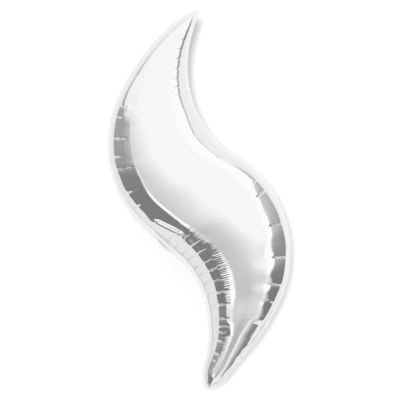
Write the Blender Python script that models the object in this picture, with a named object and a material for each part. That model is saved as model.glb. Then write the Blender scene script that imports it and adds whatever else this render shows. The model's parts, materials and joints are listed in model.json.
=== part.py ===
"""S-curve foil balloon.

Two film panels meet in a flat welded rim, and a short inflation tail folds on the rim's edge.
Metres. X is to the right, Y to the back and Z up. The rim lies in the plane Y = 0, and the
origin is the balloon's middle, where the air carries it.
"""

import math

import bpy
from mathutils import Matrix, Vector

# Film. The walls stand in for film that is 0.04 mm thick.
PANEL_FILM = 0.0015
TAIL_FILM = 0.0010
SLEEVE_FILM = 0.0005
PLY_GAP = 0.0003

# Outline. Each row is a chord across the balloon, from its left edge to its right edge, in
# millimetres: left X, left Z, right X, right Z. The rows run from the top tip to the bottom
# tip and turn with the S, so that each lies square to its middle line.
TOP_TIP = (-3, 513)
CHORDS = (
    (-46, 494, -14, 470),
    (-92, 456, -27, 421),
    (-184, 343, -32, 332),
    (-243, 208, -7, 235),
    (-239, 70, 46, 159),
    (-197, -24, 78, 131),
    (-113, -108, 111, 111),
    (-78, -140, 198, 24),
    (-46, -167, 238, -70),
    (3, -243, 240, -211),
    (23, -338, 181, -346),
    (18, -424, 95, -456),
    (6, -470, 70, -487),
    (10, -500, 46, -508),
)
BOTTOM_TIP = (19, -516)
STEPS_PER_CHORD = 3

# Bulge of each panel.
RIM_WIDTH = 0.008
TOP_TIP_RIM = 0.022
BOTTOM_TIP_RIM = 0.010
TIP_WALL = 0.003
DEPTH_PER_HALF_WIDTH = 0.80
ARCH_STEPS = 12

# Inflation tail, measured from the hinge line at its root. It folds along the cut edge.
TAIL_ROOT = (-0.1000, -0.1195)
TAIL_EDGE = Vector((35, 0, -32)).normalized()
HINGE_TO_RIM = 0.003
HINGE_TO_TAIL = 0.0025
TAIL_LENGTH = 0.072
TAIL_HALF_WIDTH = 0.014
ROOT_HALF_WIDTH = 0.018
ROOT_FLARE_ENDS = 0.018
SIDE_WELD = 0.0045
FLARE_DRAWN_IN = SIDE_WELD / 8
SLEEVE_SLOPE = 0.0015
TAIL_FOLD = math.radians(105)

# Valve sleeve, flat between the tail's plies.
SLEEVE_HALF_WIDTH = 0.008
SLEEVE_START = 0.004
SLEEVE_PROUD = 0.002
SLEEVE_GAP = 0.0003

# Angles above which an edge is shaded sharp.
PANEL_SHARP_ABOVE = math.radians(50)
FILM_SHARP_ABOVE = math.radians(40)


def film_material(name, colour, roughness, metallic, alpha=1.0):
    """A plain film finish."""
    material = bpy.data.materials.new(name)
    material.use_nodes = True
    shader = material.node_tree.nodes["Principled BSDF"]
    shader.inputs["Base Color"].default_value = (*colour, 1.0)
    shader.inputs["Roughness"].default_value = roughness
    shader.inputs["Metallic"].default_value = metallic
    shader.inputs["Alpha"].default_value = alpha
    return material


def curve_through(points, steps):
    """A smooth curve through the points, with `steps` stretches between each two."""
    lengths = [(b - a).length for a, b in zip(points, points[1:])]
    slopes = [(points[1] - points[0]) / lengths[0]]
    for i in range(1, len(points) - 1):
        before = (points[i] - points[i - 1]) / lengths[i - 1]
        after = (points[i + 1] - points[i]) / lengths[i]
        weight = lengths[i - 1] / (lengths[i - 1] + lengths[i])
        slopes.append(before.lerp(after, weight))
    slopes.append((points[-1] - points[-2]) / lengths[-1])
    curve = [points[0]]
    for i, length in enumerate(lengths):
        for step in range(1, steps + 1):
            u = step / steps
            start = points[i] * (2 * u**3 - 3 * u**2 + 1)
            end = points[i + 1] * (3 * u**2 - 2 * u**3)
            leave = slopes[i] * length * (u**3 - 2 * u**2 + u)
            arrive = slopes[i + 1] * length * (u**3 - u**2)
            curve.append(start + end + leave + arrive)
    return curve


def cut_edges():
    """The left and right cut edges of the film, from tip to tip, in the seam plane."""
    left = [TOP_TIP, *(chord[:2] for chord in CHORDS), BOTTOM_TIP]
    right = [TOP_TIP, *(chord[2:] for chord in CHORDS), BOTTOM_TIP]
    metres = [[Vector((x, z)) * 0.001 for x, z in edge] for edge in (left, right)]
    return [curve_through(edge, STEPS_PER_CHORD) for edge in metres]


def seal_line(edge, other, inset):
    """The line a given distance in from a cut edge, brought to a point inside each tip."""
    inner = []
    for i, point in enumerate(edge):
        along = edge[min(i + 1, len(edge) - 1)] - edge[max(i - 1, 0)]
        inward = Vector((-along.y, along.x)).normalized()
        if inward.dot(other[i] - point) < 0:
            inward.negate()
        inner.append(point + inward * inset)
    last = len(edge) - 1
    tips = ((0, STEPS_PER_CHORD, TOP_TIP_RIM), (last, last - STEPS_PER_CHORD, BOTTOM_TIP_RIM))
    for tip, row, tip_rim in tips:
        middle = (edge[row] + other[row]) / 2
        reach = tip_rim + TIP_WALL * (inset - RIM_WIDTH) / PANEL_FILM
        apex = edge[tip] + (middle - edge[tip]).normalized() * reach
        for step in range(STEPS_PER_CHORD):
            i = abs(tip - step)
            inner[i] = apex.lerp(inner[row], step / STEPS_PER_CHORD)
    return inner


def add_mesh(name, points, faces, material):
    """A new object from its points and faces."""
    mesh = bpy.data.meshes.new(name)
    mesh.from_pydata([tuple(point) for point in points], [], faces)
    mesh.materials.append(material)
    mesh.shade_smooth()
    thing = bpy.data.objects.new(name, mesh)
    bpy.context.collection.objects.link(thing)
    return thing


def thicken(thing, film):
    """Give a sheet its wall, on the side its faces turn their backs to."""
    solidify = thing.modifiers.new("Film", "SOLIDIFY")
    solidify.thickness = film
    solidify.offset = -1.0
    solidify.use_even_offset = True
    thing.data.set_sharp_from_angle(angle=FILM_SHARP_ABOVE)


def panel_sheet(points, side, inset, base_y):
    """Add one face of a panel, its flat rim and its arched rows; return the rows' indices."""
    left, right = cut_edges()
    left_seal = seal_line(left, right, inset)
    right_seal = seal_line(right, left, inset)
    rows = []
    for i in range(len(left)):
        is_tip = i in (0, len(left) - 1)
        half = (right_seal[i] - left_seal[i]) / 2
        middle = (right_seal[i] + left_seal[i]) / 2
        depth = (half.length + inset - RIM_WIDTH) * DEPTH_PER_HALF_WIDTH
        arch = [middle]
        if not is_tip:
            turns = [math.pi * j / ARCH_STEPS for j in range(ARCH_STEPS + 1)]
            arch = [middle - half * math.cos(turn) for turn in turns]
        cuts = [left[i]] if is_tip else [left[i], right[i]]
        start = len(points)
        for j, place in enumerate(arch):
            rise = 0.0 if is_tip else depth * math.sin(math.pi * j / ARCH_STEPS)
            points.append((place.x, side * (base_y + rise), place.y))
        points.extend((cut.x, side * base_y, cut.y) for cut in cuts)
        row = list(range(start, start + len(arch)))
        cut_left = start + len(arch)
        rows.append([cut_left, *row, cut_left + len(cuts) - 1])
    return rows


def panel(name, side, material):
    """One film panel: its flat rim, and the bulge arched over each chord.

    side is -1 for the front panel and 1 for the back one.
    """
    points = []
    outer = panel_sheet(points, side, RIM_WIDTH, PLY_GAP / 2 + PANEL_FILM)
    inner = panel_sheet(points, side, RIM_WIDTH + PANEL_FILM, PLY_GAP / 2)
    faces = []
    for i in range(len(outer) - 1):
        faces.extend(faces_between(outer[i], outer[i + 1]))
        faces.extend(face[::-1] for face in faces_between(inner[i], inner[i + 1]))
        faces.append((outer[i][0], inner[i][0], inner[i + 1][0], outer[i + 1][0]))
        faces.append((outer[i + 1][-1], inner[i + 1][-1], inner[i][-1], outer[i][-1]))
    if side > 0:
        faces = [face[::-1] for face in faces]
    thing = add_mesh(name, points, faces, material)
    thing.data.set_sharp_from_angle(angle=PANEL_SHARP_ABOVE)
    return thing


def faces_between(upper, lower):
    """The faces between two rows of points, where a tip's row is one point and its rim."""
    if len(upper) == len(lower):
        strips = zip(upper, upper[1:], lower[1:], lower)
        return [face[::-1] for face in strips]
    tip, row = (upper, lower) if len(upper) < len(lower) else (lower, upper)
    cut, apex = tip[0], tip[1]
    faces = [(cut, apex, row[1], row[0])]
    faces.extend((apex, b, a) for a, b in zip(row[1:-1], row[2:-1]))
    faces.append((apex, cut, row[-1], row[-2]))
    if tip is lower:
        return faces
    return [face[::-1] for face in faces]


def tail_hinge():
    """An empty on the fold line: X along the fold, Y along the tail and Z to its front side."""
    outward = Vector((-TAIL_EDGE.z, 0, TAIL_EDGE.x))
    if outward.dot(Vector((*TAIL_ROOT, 0)).xzy) < 0:
        outward.negate()
    fold = Vector((0, 1, 0)).cross(outward)
    along = outward * math.cos(TAIL_FOLD) + Vector((0, 1, 0)) * math.sin(TAIL_FOLD)
    place = Vector((TAIL_ROOT[0], 0, TAIL_ROOT[1])) + outward * HINGE_TO_RIM
    turn = Matrix((fold, along, fold.cross(along))).transposed().to_4x4()
    hinge = bpy.data.objects.new("tail_hinge", None)
    bpy.context.collection.objects.link(hinge)
    hinge.matrix_world = Matrix.Translation(place) @ turn
    return hinge


def tail_ply(name, side, hinge, material):
    """One ply of the tail: welded flat along its sides and raised over the valve sleeve."""
    weld_z = PLY_GAP / 2 + TAIL_FILM
    raised_z = PLY_GAP / 2 + SLEEVE_FILM + SLEEVE_GAP + TAIL_FILM
    stations = (
        (HINGE_TO_TAIL, ROOT_HALF_WIDTH),
        (ROOT_FLARE_ENDS / 2, (ROOT_HALF_WIDTH + TAIL_HALF_WIDTH) / 2 - FLARE_DRAWN_IN),
        (ROOT_FLARE_ENDS, TAIL_HALF_WIDTH),
        (TAIL_LENGTH, TAIL_HALF_WIDTH),
    )
    weld_ends = TAIL_HALF_WIDTH - SIDE_WELD
    raised_ends = weld_ends - SLEEVE_SLOPE
    points = []
    for along, half_width in stations:
        profile = (
            (-half_width, weld_z),
            (-weld_ends, weld_z),
            (-raised_ends, raised_z),
            (raised_ends, raised_z),
            (weld_ends, weld_z),
            (half_width, weld_z),
        )
        points.extend((across, along, side * height) for across, height in profile)
    width = len(profile)
    faces = []
    for i in range(len(stations) - 1):
        for j in range(width - 1):
            a = i * width + j
            faces.append((a, a + 1, a + width + 1, a + width))
    if side < 0:
        faces = [face[::-1] for face in faces]
    ply = add_mesh(name, points, faces, material)
    ply.data.shade_flat()
    thicken(ply, TAIL_FILM)
    ply.parent = hinge
    return ply


def sleeve_film(name, side, hinge, material):
    """One flat film of the valve sleeve, from the tail's root to just past its mouth."""
    end = TAIL_LENGTH + SLEEVE_PROUD
    face_z = side * (PLY_GAP / 2 + SLEEVE_FILM)
    points = [
        (-SLEEVE_HALF_WIDTH, SLEEVE_START, face_z),
        (SLEEVE_HALF_WIDTH, SLEEVE_START, face_z),
        (SLEEVE_HALF_WIDTH, end, face_z),
        (-SLEEVE_HALF_WIDTH, end, face_z),
    ]
    face = (0, 1, 2, 3) if side > 0 else (3, 2, 1, 0)
    film = add_mesh(name, points, [face], material)
    film.data.shade_flat()
    thicken(film, SLEEVE_FILM)
    film.parent = hinge
    return film


def clear_scene():
    """Remove what a new file holds."""
    for thing in list(bpy.data.objects):
        bpy.data.objects.remove(thing, do_unlink=True)


def main():
    """Build the balloon."""
    clear_scene()
    foil = film_material("silver_foil", (0.86, 0.87, 0.88), 0.12, 1.0)
    clear_film = film_material("clear_film", (0.85, 0.87, 0.89), 0.30, 0.0)
    panel("front_panel", -1, foil)
    panel("back_panel", 1, foil)
    hinge = tail_hinge()
    tail_ply("tail_front", 1, hinge, foil)
    tail_ply("tail_back", -1, hinge, foil)
    sleeve_film("valve_front", 1, hinge, clear_film)
    sleeve_film("valve_back", -1, hinge, clear_film)


main()
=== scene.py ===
"""Looks of a silver S-curve foil balloon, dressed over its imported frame.

The file is laid out as an add-on and run as a script. It loads the frame, then makes the two
film panels with their puckers and welded margin, the inflation tail, the valve sleeve, the neck
that folds between tail and panels, and the studio. Metres: X to the right, Y to the back, Z up.
The weld lies in the plane Y = 0.
"""

import json
import math

import bpy
import numpy as np
from mathutils import Matrix, Vector


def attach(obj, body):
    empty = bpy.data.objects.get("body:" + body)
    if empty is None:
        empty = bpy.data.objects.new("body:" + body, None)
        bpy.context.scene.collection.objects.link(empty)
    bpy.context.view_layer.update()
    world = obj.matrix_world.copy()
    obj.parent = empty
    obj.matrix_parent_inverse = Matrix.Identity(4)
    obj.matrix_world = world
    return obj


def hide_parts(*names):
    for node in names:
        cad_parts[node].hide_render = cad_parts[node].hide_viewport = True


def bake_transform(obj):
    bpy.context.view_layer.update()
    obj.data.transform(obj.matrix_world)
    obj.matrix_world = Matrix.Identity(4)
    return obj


bl_info = {
    "name": "Foil Balloon Looks",
    "version": (1, 0, 0),
    "blender": (4, 5, 0),
    "location": "View3D > Sidebar > Foil Balloon",
    "description": "Silver film, tail, valve and studio of an S-curve foil balloon",
    "category": "Add Mesh",
}

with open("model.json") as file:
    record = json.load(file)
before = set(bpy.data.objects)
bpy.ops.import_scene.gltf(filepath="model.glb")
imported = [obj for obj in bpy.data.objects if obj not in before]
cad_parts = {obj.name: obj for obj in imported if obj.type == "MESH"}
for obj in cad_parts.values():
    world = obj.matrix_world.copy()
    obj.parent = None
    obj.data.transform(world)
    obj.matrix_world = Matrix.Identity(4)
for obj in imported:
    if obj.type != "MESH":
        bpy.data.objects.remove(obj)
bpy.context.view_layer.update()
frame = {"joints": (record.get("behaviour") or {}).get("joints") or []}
TAIL_JOINT = next(joint for joint in frame["joints"] if joint["name"] == "tail_fold")
MILLIMETRE = 0.001
PER_METRE = 1000

# Outline of the flat weld, the same as in the part's source. Each row is a chord across the
# balloon in millimetres, left X, left Z, right X, right Z, from the top tip to the bottom one.
TOP_TIP = (-3, 513)
CHORDS = (
    (-46, 494, -14, 470),
    (-92, 456, -27, 421),
    (-184, 343, -32, 332),
    (-243, 208, -7, 235),
    (-239, 70, 46, 159),
    (-197, -24, 78, 131),
    (-113, -108, 111, 111),
    (-78, -140, 198, 24),
    (-46, -167, 238, -70),
    (3, -243, 240, -211),
    (23, -338, 181, -346),
    (18, -424, 95, -456),
    (6, -470, 70, -487),
    (10, -500, 46, -508),
)
BOTTOM_TIP = (19, -516)

# Creases that run in from the weld, square to it, in order from the top tip. Each row is the
# height of its weld end, its depth, the reach of its broad dip and of its sharp fold as seen from
# the front, how far in it grows, how flat the lobe below it is, and the width of each flank of
# its fold. All are in millimetres apart from the flatness: 2 is a round lobe and 8 a flat one.
LEFT_CREASES = (
    (513, 0.0, 20, 20, 4, 3, 1.6),
    (420, 0.2, 20, 14, 4, 4, 1.6),
    (340, 0.2, 20, 14, 4, 5, 1.6),
    (254, 0.8, 20, 16, 4, 6, 1.8),
    (222, 1.2, 30, 22, 4, 7, 2.2),
    (163, 1.8, 50, 44, 4, 7, 2.8),
    (112, 1.6, 44, 24, 4, 7, 2.8),
    (76, 2.0, 64, 56, 4, 7, 2.8),
    (10, 1.8, 50, 26, 4, 6, 2.4),
    (-30, 1.8, 50, 26, 4, 5, 2.8),
    (-78, 1.8, 60, 28, 4, 4, 2.6),
    (-118, 1.6, 66, 62, 4, 5, 2.0),
    (-136, 1.4, 68, 64, 4, 5, 2.0),
    (-153, 1.4, 70, 66, 4, 5, 2.0),
    (-168, 1.6, 70, 66, 4, 5, 2.2),
    (-189, 1.6, 70, 66, 4, 5, 2.2),
    (-208, 1.6, 70, 64, 4, 5, 2.4),
    (-233, 1.8, 66, 62, 4, 5, 2.4),
    (-260, 1.8, 64, 60, 4, 6, 2.4),
    (-290, 1.8, 60, 56, 4, 6, 2.4),
    (-325, 1.6, 54, 50, 4, 5, 2.4),
    (-344, 1.4, 50, 46, 4, 4, 2.4),
    (-360, 1.4, 46, 42, 4, 4, 2.4),
    (-381, 1.6, 38, 32, 4, 4, 2.4),
    (-413, 1.4, 30, 26, 4, 4, 2.2),
    (-431, 1.0, 26, 22, 4, 4, 2.0),
    (-462, 0.6, 18, 14, 4, 4, 1.8),
    (-490, 0.3, 12, 10, 4, 4, 1.6),
    (-516, 0.0, 12, 8, 4, 4, 1.6),
)
RIGHT_CREASES = (
    (513, 0.0, 10, 10, 4, 4, 1.6),
    (470, 0.4, 18, 12, 4, 4, 1.6),
    (447, 0.6, 24, 18, 4, 4, 1.6),
    (424, 0.7, 30, 22, 4, 4, 1.6),
    (400, 0.8, 36, 26, 4, 4, 1.6),
    (376, 0.9, 40, 29, 4, 4, 1.6),
    (351, 1.0, 44, 32, 4, 5, 1.6),
    (327, 1.0, 48, 34, 4, 5, 1.6),
    (305, 1.0, 50, 36, 4, 5, 1.6),
    (286, 0.9, 52, 37, 4, 5, 1.6),
    (263, 1.0, 54, 40, 4, 5, 1.6),
    (247, 0.8, 54, 41, 4, 5, 1.6),
    (226, 1.0, 56, 43, 4, 5, 1.6),
    (204, 0.8, 54, 42, 4, 5, 1.6),
    (185, 1.0, 54, 42, 4, 5, 1.6),
    (162, 0.6, 44, 34, 4, 4, 1.6),
    (129, 0.7, 44, 30, 6, 3, 1.6),
    (58, 1.4, 80, 24, 16, 2.4, 2.8),
    (28, 2.6, 104, 42, 26, 2.0, 3.2),
    (-62, 3.4, 108, 44, 26, 1.9, 3.4),
    (-158, 3.4, 108, 43, 26, 1.9, 3.4),
    (-236, 2.6, 100, 37, 24, 1.9, 3.4),
    (-284, 0.9, 66, 18, 16, 2.4, 2.8),
    (-322, 0.4, 16, 10, 8, 2.4, 2.0),
    (-350, 1.2, 10, 5, 4, 2.8, 2.4),
    (-385, 1.2, 10, 5, 4, 2.8, 2.4),
    (-411, 1.0, 10, 5, 4, 2.8, 2.4),
    (-430, 0.9, 8, 4, 4, 2.8, 2.0),
    (-470, 0.5, 8, 4, 4, 3, 1.8),
    (-516, 0.0, 8, 4, 4, 3, 1.6),
)

# Patches of fine ribs, square to the weld: side, from and to height of their weld end, from and
# to distance over the film, pitch and height, in millimetres.
RIB_PATCHES = (
    ("left", -118, -180, 64, 90, 5.0, 0.20),
    ("left", -168, -216, 58, 86, 5.0, 0.20),
    ("left", -204, -256, 52, 80, 5.0, 0.18),
    ("left", -240, -345, 46, 68, 5.0, 0.12),
    ("left", -118, -232, 42, 57, 4.4, 0.18),
    ("left", -340, -440, 24, 44, 5.0, 0.16),
    ("left", 258, 218, 8, 30, 4.6, 0.30),
    ("right", 62, 26, 8, 38, 4.4, 0.42),
    ("right", 390, 170, 22, 44, 6.0, 0.10),
)

# Sharp ridges that run slantwise along the weld: side, from and to height of their weld end,
# distance in at each end, width of the outer flank, of the top and of the inner flank, and
# rise, in millimetres.
RIDGES = (
    ("left", -58, -136, 12, 46, 4.5, 4, 10, 5.2),
    ("left", -112, -262, 40, 29, 4, 3.5, 9, 1.75),
    ("left", 262, 238, 28, 32, 6, 0, 6, 0.5),
)


def length_setting(name, description, default):
    """A setting for a length or a place in metres."""
    return bpy.props.FloatProperty(
        name=name,
        description=description,
        default=default,
        precision=5,
        subtype="DISTANCE",
        unit="LENGTH",
    )


def share_setting(name, description, default, low=0.0, high=1.0):
    """A setting for a share or a factor, with its limits."""
    return bpy.props.FloatProperty(
        name=name,
        description=description,
        default=default,
        min=low,
        max=high,
        subtype="FACTOR",
    )


def angle_setting(name, description, degrees):
    """A setting for an angle, with its default in degrees."""
    return bpy.props.FloatProperty(
        name=name,
        description=description,
        default=math.radians(degrees),
        subtype="ANGLE",
        unit="ROTATION",
    )


def colour_setting(name, description, default):
    """A setting for a colour."""
    return bpy.props.FloatVectorProperty(
        name=name,
        description=description,
        default=default,
        min=0.0,
        max=1.0,
        subtype="COLOR",
    )


class FilmSettings(bpy.types.PropertyGroup):
    """Sizes of the film panels."""

    thickness: length_setting("Film", "Thickness that stands in for film 0.04 mm thick", 0.0003)
    weld_gap: length_setting("Weld Gap", "Gap between the two plies of the welded margin", 0.0002)
    margin: length_setting("Margin", "Width of the flat welded margin", 0.008)
    top_margin: length_setting("Top Tip", "Flat film from the top tip to the bulge", 0.022)
    bottom_margin: length_setting("Bottom Tip", "Flat film from the bottom tip to the bulge", 0.010)
    bulge: share_setting("Bulge", "Depth of a panel over its half width", 0.80, 0.3, 1.0)
    pucker: share_setting("Pucker", "Share of the listed depth of the creases", 1.0, 0.0, 2.0)
    rib: share_setting("Ribs", "Share of the listed height of the fine ribs", 1.0, 0.0, 2.0)


class TailSettings(bpy.types.PropertyGroup):
    """Sizes of the inflation tail and its valve sleeve, as in the part's source."""

    fold: angle_setting("Fold", "How far the tail is folded behind from straight out", 105)
    start: length_setting("Start", "Distance from the fold to the tail's root", 0.0025)
    length: length_setting("Length", "Distance from the fold to the tail's mouth", 0.072)
    flare: length_setting("Flare", "Distance from the fold to the end of the flared root", 0.018)
    half_width: length_setting("Half Width", "Half width of the straight tail", 0.014)
    root_half_width: length_setting("Root Half Width", "Half width at the root", 0.018)
    weld: length_setting("Side Weld", "Width of the weld down each side", 0.0045)
    weld_height: length_setting("Weld Height", "Outer face of a ply at the weld", 0.0009)
    film: length_setting("Film", "Thickness that stands in for film 0.04 mm thick", 0.0003)
    sleeve_start: length_setting("Sleeve Start", "Distance from the fold to the sleeve", 0.004)
    sleeve_proud: length_setting("Sleeve Proud", "How far the sleeve shows at the mouth", 0.002)
    sleeve_half_width: length_setting("Sleeve Half Width", "Half width of the sleeve", 0.008)
    sleeve_film: length_setting("Sleeve Film", "Thickness of each clear film", 0.0002)


class FinishSettings(bpy.types.PropertyGroup):
    """Colours and gloss of the films."""

    foil_colour: colour_setting("Foil", "Colour that the film reflects", (0.94, 0.942, 0.946))
    foil_roughness: share_setting("Foil Roughness", "Blur of the film's mirror", 0.07)
    weld_roughness: share_setting("Weld Roughness", "Blur of the embossed weld", 0.24)
    sleeve_colour: colour_setting("Sleeve", "Tint of the clear valve film", (0.85, 0.87, 0.89))
    sleeve_alpha: share_setting("Sleeve Alpha", "How much the clear film covers", 0.5)


class StudioSettings(bpy.types.PropertyGroup):
    """Places and strengths of the studio."""

    wall: length_setting("Wall", "Distance of the white wall behind the weld", 0.165)
    floor: length_setting("Floor", "Height of the pale floor", -0.75)
    key_tilt: angle_setting("Key Tilt", "Angle of the key light off the camera's line, up and left", 5)
    key_size: angle_setting("Key Size", "Angle that the key light spans, which softens its shadow", 9)
    camera_distance: length_setting("Camera Distance", "Distance of the camera before the weld", 6.0)


# Curves and waves
RIPPLE_SHARES = (1.0, 0.62, 0.41)
RIPPLE_CREST = 1.9
# Seeds of the waves, which keep each of them the same from run to run.
WAVE_SEED = 5
RIB_DRIFT_SEED = 9
CURL_SEED = 12
RIB_STRENGTH_SEED = 20
KINK_SEED = 33
MOUTH_SEED = 34
WANDER_SEED = 40
SLEEVE_SEED = 41
GATHER_SEED = 51


def smooth_step(value, low, high):
    """0 below low, 1 above high and an even change between them."""
    share = np.clip((value - low) / (high - low), 0, 1)
    return share * share * (3 - 2 * share)


def faded(value, low, high, fade_in, fade_out):
    """1 between low and high, with an even fade inside each end, and 0 beyond them."""
    return smooth_step(value, low, low + fade_in) * (1 - smooth_step(value, high - fade_out, high))


def ripple(place, wavelength, seed):
    """An uneven wave of height about 1, the same each time for a seed."""
    draw = np.random.default_rng(seed)
    wave = np.zeros_like(place)
    for share in RIPPLE_SHARES:
        turn = draw.uniform(0, 2 * math.pi)
        wave += math.sqrt(share) * np.sin(2 * math.pi * place / (wavelength * share) + turn)
    return wave / RIPPLE_CREST


def hermite(share, first, last, leave, arrive):
    """Points at shares of the way on a smooth curve, from its ends and its slopes there."""
    curve = first * (2 * share**3 - 3 * share**2 + 1)
    curve = curve + last * (3 * share**2 - 2 * share**3)
    curve = curve + leave * (share**3 - 2 * share**2 + share)
    return curve + arrive * (share**3 - share**2)


def curve_through(points, steps):
    """A smooth curve through the points, with a given number of steps between each two."""
    points = np.array(points, float)
    lengths = np.linalg.norm(np.diff(points, axis=0), axis=1)
    units = np.diff(points, axis=0) / lengths[:, None]
    weights = (lengths[:-1] / (lengths[:-1] + lengths[1:]))[:, None]
    inner = units[:-1] * (1 - weights) + units[1:] * weights
    slopes = np.vstack([units[:1], inner, units[-1:]])
    share = (np.arange(1, steps + 1) / steps)[:, None]
    curve = [points[:1]]
    for i, length in enumerate(lengths):
        leave, arrive = slopes[i] * length, slopes[i + 1] * length
        curve.append(hermite(share, points[i], points[i + 1], leave, arrive))
    return np.vstack(curve)


def run_along(line):
    """Distance along a line of points, from its first."""
    return np.concatenate([[0.0], np.cumsum(np.linalg.norm(np.diff(line, axis=0), axis=1))])


def runs_along(rows):
    """Distance along each row of a grid of points, from its first."""
    steps = np.linalg.norm(np.diff(rows, axis=1), axis=2)
    return np.concatenate([np.zeros((len(rows), 1)), np.cumsum(steps, axis=1)], axis=1)


def run_at(heights, line, run):
    """How far along a line of points the given heights in millimetres lie."""
    return np.interp(-np.array(heights) * MILLIMETRE, -line[:, 1], run)


def smooth_line(line, reach, spacing):
    """A line of points with its bends evened out over a reach, and its ends held."""
    count = int(3 * reach / spacing)
    offsets = np.arange(-count, count + 1) * spacing
    weights = np.exp(-0.5 * (offsets / reach) ** 2)
    weights /= weights.sum()
    before = 2 * line[0] - line[count:0:-1]
    after = 2 * line[-1] - line[-2 : -count - 2 : -1]
    padded = np.concatenate([before, line, after])
    columns = [np.convolve(padded[:, k], weights, "valid") for k in range(line.shape[1])]
    return np.stack(columns, axis=1)


# Outline. Rows stand closer at the creases, and over the ribs of the lower left, which lie
# between the heights RIBBED.
ROW_COUNT = 1040
STEPS_PER_CHORD = 60
EVENED_OVER = 0.010
CREASE_ROWS = 1.5
CREASE_ROWS_OVER = 0.005
RIBBED = (-0.110, -0.440)
RIB_ROWS = 0.6
EVEN_ROWS = 6


def row_density(edges, run):
    """How closely rows stand along the balloon: closer at creases and over the ribs."""
    density = np.ones_like(run)
    for creases, edge in zip((LEFT_CREASES, RIGHT_CREASES), edges):
        for place in run_at([row[0] for row in creases[1:-1]], edge, run):
            density += CREASE_ROWS * np.exp(-(((run - place) / CREASE_ROWS_OVER) ** 2))
    left_height = edges[0][:, 1]
    return density + RIB_ROWS * ((left_height < RIBBED[0]) & (left_height > RIBBED[1]))


def cut_edges():
    """The left and right cut edges in X and Z in even rows, and where the film's rows lie."""
    left = [TOP_TIP, *(chord[:2] for chord in CHORDS), BOTTOM_TIP]
    right = [TOP_TIP, *(chord[2:] for chord in CHORDS), BOTTOM_TIP]
    left, right = (curve_through(edge, STEPS_PER_CHORD) * MILLIMETRE for edge in (left, right))
    run = run_along((left + right) / 2)
    even = np.linspace(0, run[-1], ROW_COUNT)
    edges = []
    for edge in (left, right):
        line = np.stack([np.interp(even, run, edge[:, k]) for k in (0, 1)], axis=1)
        edges.append(smooth_line(line, EVENED_OVER, even[1]))
    density = row_density(edges, even)
    weight = np.concatenate([[0.0], np.cumsum((density[1:] + density[:-1]) / 2)])
    places = np.interp(np.linspace(0, weight[-1], ROW_COUNT), weight, np.arange(ROW_COUNT))
    return edges, places


def between_rows(values, places):
    """Values of even rows at places between them, on a smooth curve through the rows."""
    start = np.clip(places.astype(int), 0, len(values) - 2)
    share = (places - start).reshape(-1, *[1] * (values.ndim - 1))
    slopes = np.gradient(values, axis=0)
    return hermite(share, values[start], values[start + 1], slopes[start], slopes[start + 1])


def inward_of(edge, other):
    """Unit directions square to an edge, towards the other edge."""
    along = np.gradient(edge, axis=0)
    along /= np.linalg.norm(along, axis=1)[:, None]
    along = smooth_line(along, EVEN_ROWS, 1)
    inward = np.stack([-along[:, 1], along[:, 0]], axis=1)
    inward /= np.linalg.norm(inward, axis=1)[:, None]
    inward[np.sum(inward * (other - edge), axis=1) < 0] *= -1
    return inward


def weld_line(edge, other, film):
    """The line where the film leaves the flat margin, brought to a point inside each tip."""
    line = edge + inward_of(edge, other) * film.margin
    middle = (edge + other) / 2
    ends = (
        (0, 1, CHORDS[0], film.top_margin),
        (len(edge) - 1, -1, CHORDS[-1], film.bottom_margin),
    )
    for tip, step, chord, margin in ends:
        chord_middle = np.array(chord).reshape(2, 2).mean(axis=0) * MILLIMETRE
        row = int(np.argmin(np.linalg.norm(middle - chord_middle, axis=1)))
        reach = np.linalg.norm(middle[row] - edge[tip])
        apex = edge[tip] + (middle[row] - edge[tip]) * margin / reach
        for i in range(tip, row, step):
            share = np.linalg.norm(middle[i] - edge[tip]) / reach
            line[i] = apex * (1 - share) + line[row] * share
    return line


# Number of columns over the bulge and over each margin. Over the bulge they stand closer in the
# belts beside the welds, up to these shares of the way across, and closest at the welds, where
# the first one keeps the fold sharp.
ARCH_COLUMNS = 69
MARGIN_COLUMNS = 3
BELT_ENDS = (0.16, 0.25)
BELT_CROWDING = 2.2
WELD_END = 0.02
WELD_CROWDING = 6.0
FIRST_COLUMN = 0.00012
ARCH_STEPS = 2000

# Steps of a row's path in the seam plane, which leaves the welds square where the row is wider
# than the second of these widths, and straight across where it is narrower than the first.
PLAN_STEPS = 48
SQUARE_WIDTHS = (0.04, 0.14)

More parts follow.
